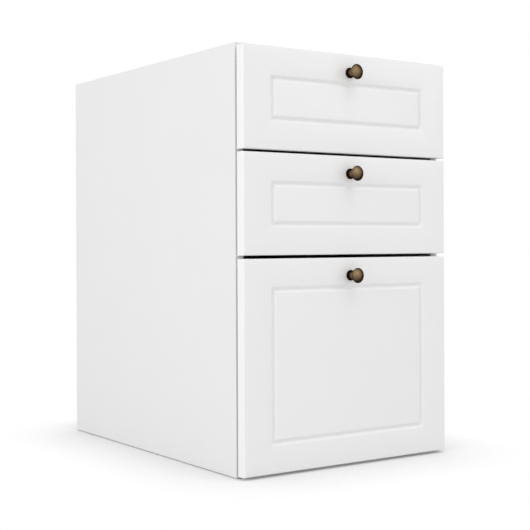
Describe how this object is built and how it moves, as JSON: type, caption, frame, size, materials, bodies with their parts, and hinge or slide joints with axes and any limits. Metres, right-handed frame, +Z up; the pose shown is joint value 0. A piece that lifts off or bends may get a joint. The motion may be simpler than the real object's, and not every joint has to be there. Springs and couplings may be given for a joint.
{
  "type": "base cabinet with drawers",
  "caption": "White kitchen base cabinet with drawers on roller runners, grooved fronts and round metal knobs.",
  "frame": {"origin": "on the floor, midway between the two sides and midway between the knobs' faces and the rear edges of the sides", "axes": "+Z up, -Y out of the drawer fronts towards the user, +X to the user's right"},
  "size_m": [0.45, 0.659, 0.72],
  "materials": {
    "white_board": "white melamine-faced chipboard, satin, thin white edging",
    "white_foil": "MDF wrapped in satin white foil, one routed groove",
    "white_hardboard": "thin hardboard, white-lacquered inner face, bare brown rear face",
    "epoxy_steel": "white epoxy-coated sheet steel",
    "nylon": "white nylon",
    "aged_brass": "antique brass, dark brown in the recesses, rubbed lighter on the dome",
    "zinc_steel": "bright zinc plate",
    "clear_rubber": "soft clear bumper"
  },
  "bodies": {
    "carcass": {"carcass_side_left": "white_board", "carcass_side_right": "white_board", "carcass_bottom": "white_board", "top_rail_front": "white_board", "top_rail_rear": "white_board", "back_panel": "white_hardboard", "top_cabinet_runner_left": "epoxy_steel", "top_cabinet_runner_right": "epoxy_steel", "middle_cabinet_runner_left": "epoxy_steel", "middle_cabinet_runner_right": "epoxy_steel", "bottom_cabinet_runner_left": "epoxy_steel", "bottom_cabinet_runner_right": "epoxy_steel"},
    "top_drawer": {"top_drawer_front": "white_foil", "top_knob": "aged_brass", "top_knob_screw": "zinc_steel", "top_box_front": "white_board", "top_box_back": "white_board", "top_box_bottom": "white_hardboard", "top_box_side_left": "white_board", "top_bumper_left": "clear_rubber", "top_drawer_runner_left": "epoxy_steel", "top_box_side_right": "white_board", "top_bumper_right": "clear_rubber", "top_drawer_runner_right": "epoxy_steel"},
    "top_cabinet_roller_left": {"top_cabinet_roller_left": "nylon"},
    "top_drawer_roller_left": {"top_drawer_roller_left": "nylon"},
    "top_cabinet_roller_right": {"top_cabinet_roller_right": "nylon"},
    "top_drawer_roller_right": {"top_drawer_roller_right": "nylon"},
    "middle_drawer": {"middle_drawer_front": "white_foil", "middle_knob": "aged_brass", "middle_knob_screw": "zinc_steel", "middle_box_front": "white_board", "middle_box_back": "white_board", "middle_box_bottom": "white_hardboard", "middle_box_side_left": "white_board", "middle_bumper_left": "clear_rubber", "middle_drawer_runner_left": "epoxy_steel", "middle_box_side_right": "white_board", "middle_bumper_right": "clear_rubber", "middle_drawer_runner_right": "epoxy_steel"},
    "middle_cabinet_roller_left": {"middle_cabinet_roller_left": "nylon"},
    "middle_drawer_roller_left": {"middle_drawer_roller_left": "nylon"},
    "middle_cabinet_roller_right": {"middle_cabinet_roller_right": "nylon"},
    "middle_drawer_roller_right": {"middle_drawer_roller_right": "nylon"},
    "bottom_drawer": {"bottom_drawer_front": "white_foil", "bottom_knob": "aged_brass", "bottom_knob_screw": "zinc_steel", "bottom_box_front": "white_board", "bottom_box_back": "white_board", "bottom_box_bottom": "white_hardboard", "bottom_box_side_left": "white_board", "bottom_bumper_left": "clear_rubber", "bottom_drawer_runner_left": "epoxy_steel", "bottom_box_side_right": "white_board", "bottom_bumper_right": "clear_rubber", "bottom_drawer_runner_right": "epoxy_steel"},
    "bottom_cabinet_roller_left": {"bottom_cabinet_roller_left": "nylon"},
    "bottom_drawer_roller_left": {"bottom_drawer_roller_left": "nylon"},
    "bottom_cabinet_roller_right": {"bottom_cabinet_roller_right": "nylon"},
    "bottom_drawer_roller_right": {"bottom_drawer_roller_right": "nylon"}
  },
  "joints": [
    {"name": "top_drawer_slide", "type": "slide", "parent": "carcass", "child": "top_drawer", "axis": [0, -1, 0], "range_m": [0, 0.41]},
    {"name": "top_cabinet_roller_left_spin", "type": "hinge", "parent": "carcass", "child": "top_cabinet_roller_left", "pos_m": [-0.20325, -0.2635, 0.57925], "axis": [1, 0, 0], "range_deg": [0, 1880]},
    {"name": "top_drawer_roller_left_spin", "type": "hinge", "parent": "top_drawer", "child": "top_drawer_roller_left", "pos_m": [-0.20175, 0.2525, 0.5775], "axis": [1, 0, 0], "range_deg": [0, 1880]},
    {"name": "top_cabinet_roller_right_spin", "type": "hinge", "parent": "carcass", "child": "top_cabinet_roller_right", "pos_m": [0.20325, -0.2635, 0.57925], "axis": [1, 0, 0], "range_deg": [0, 1880]},
    {"name": "top_drawer_roller_right_spin", "type": "hinge", "parent": "top_drawer", "child": "top_drawer_roller_right", "pos_m": [0.20175, 0.2525, 0.5775], "axis": [1, 0, 0], "range_deg": [0, 1880]},
    {"name": "middle_drawer_slide", "type": "slide", "parent": "carcass", "child": "middle_drawer", "axis": [0, -1, 0], "range_m": [0, 0.41]},
    {"name": "middle_cabinet_roller_left_spin", "type": "hinge", "parent": "carcass", "child": "middle_cabinet_roller_left", "pos_m": [-0.20325, -0.2635, 0.40325], "axis": [1, 0, 0], "range_deg": [0, 1880]},
    {"name": "middle_drawer_roller_left_spin", "type": "hinge", "parent": "middle_drawer", "child": "middle_drawer_roller_left", "pos_m": [-0.20175, 0.2525, 0.4015], "axis": [1, 0, 0], "range_deg": [0, 1880]},
    {"name": "middle_cabinet_roller_right_spin", "type": "hinge", "parent": "carcass", "child": "middle_cabinet_roller_right", "pos_m": [0.20325, -0.2635, 0.40325], "axis": [1, 0, 0], "range_deg": [0, 1880]},
    {"name": "middle_drawer_roller_right_spin", "type": "hinge", "parent": "middle_drawer", "child": "middle_drawer_roller_right", "pos_m": [0.20175, 0.2525, 0.4015], "axis": [1, 0, 0], "range_deg": [0, 1880]},
    {"name": "bottom_drawer_slide", "type": "slide", "parent": "carcass", "child": "bottom_drawer", "axis": [0, -1, 0], "range_m": [0, 0.41]},
    {"name": "bottom_cabinet_roller_left_spin", "type": "hinge", "parent": "carcass", "child": "bottom_cabinet_roller_left", "pos_m": [-0.20325, -0.2635, 0.03875], "axis": [1, 0, 0], "range_deg": [0, 1880]},
    {"name": "bottom_drawer_roller_left_spin", "type": "hinge", "parent": "bottom_drawer", "child": "bottom_drawer_roller_left", "pos_m": [-0.20175, 0.2525, 0.037], "axis": [1, 0, 0], "range_deg": [0, 1880]},
    {"name": "bottom_cabinet_roller_right_spin", "type": "hinge", "parent": "carcass", "child": "bottom_cabinet_roller_right", "pos_m": [0.20325, -0.2635, 0.03875], "axis": [1, 0, 0], "range_deg": [0, 1880]},
    {"name": "bottom_drawer_roller_right_spin", "type": "hinge", "parent": "bottom_drawer", "child": "bottom_drawer_roller_right", "pos_m": [0.20175, 0.2525, 0.037], "axis": [1, 0, 0], "range_deg": [0, 1880]}
  ],
  "couplings": [
    {"joint": "top_cabinet_roller_left_spin", "follows": "top_drawer_slide", "rad_per_m": 80},
    {"joint": "top_drawer_roller_left_spin", "follows": "top_drawer_slide", "rad_per_m": 80},
    {"joint": "top_cabinet_roller_right_spin", "follows": "top_drawer_slide", "rad_per_m": 80},
    {"joint": "top_drawer_roller_right_spin", "follows": "top_drawer_slide", "rad_per_m": 80},
    {"joint": "middle_cabinet_roller_left_spin", "follows": "middle_drawer_slide", "rad_per_m": 80},
    {"joint": "middle_drawer_roller_left_spin", "follows": "middle_drawer_slide", "rad_per_m": 80},
    {"joint": "middle_cabinet_roller_right_spin", "follows": "middle_drawer_slide", "rad_per_m": 80},
    {"joint": "middle_drawer_roller_right_spin", "follows": "middle_drawer_slide", "rad_per_m": 80},
    {"joint": "bottom_cabinet_roller_left_spin", "follows": "bottom_drawer_slide", "rad_per_m": 80},
    {"joint": "bottom_drawer_roller_left_spin", "follows": "bottom_drawer_slide", "rad_per_m": 80},
    {"joint": "bottom_cabinet_roller_right_spin", "follows": "bottom_drawer_slide", "rad_per_m": 80},
    {"joint": "bottom_drawer_roller_right_spin", "follows": "bottom_drawer_slide", "rad_per_m": 80}
  ]
}
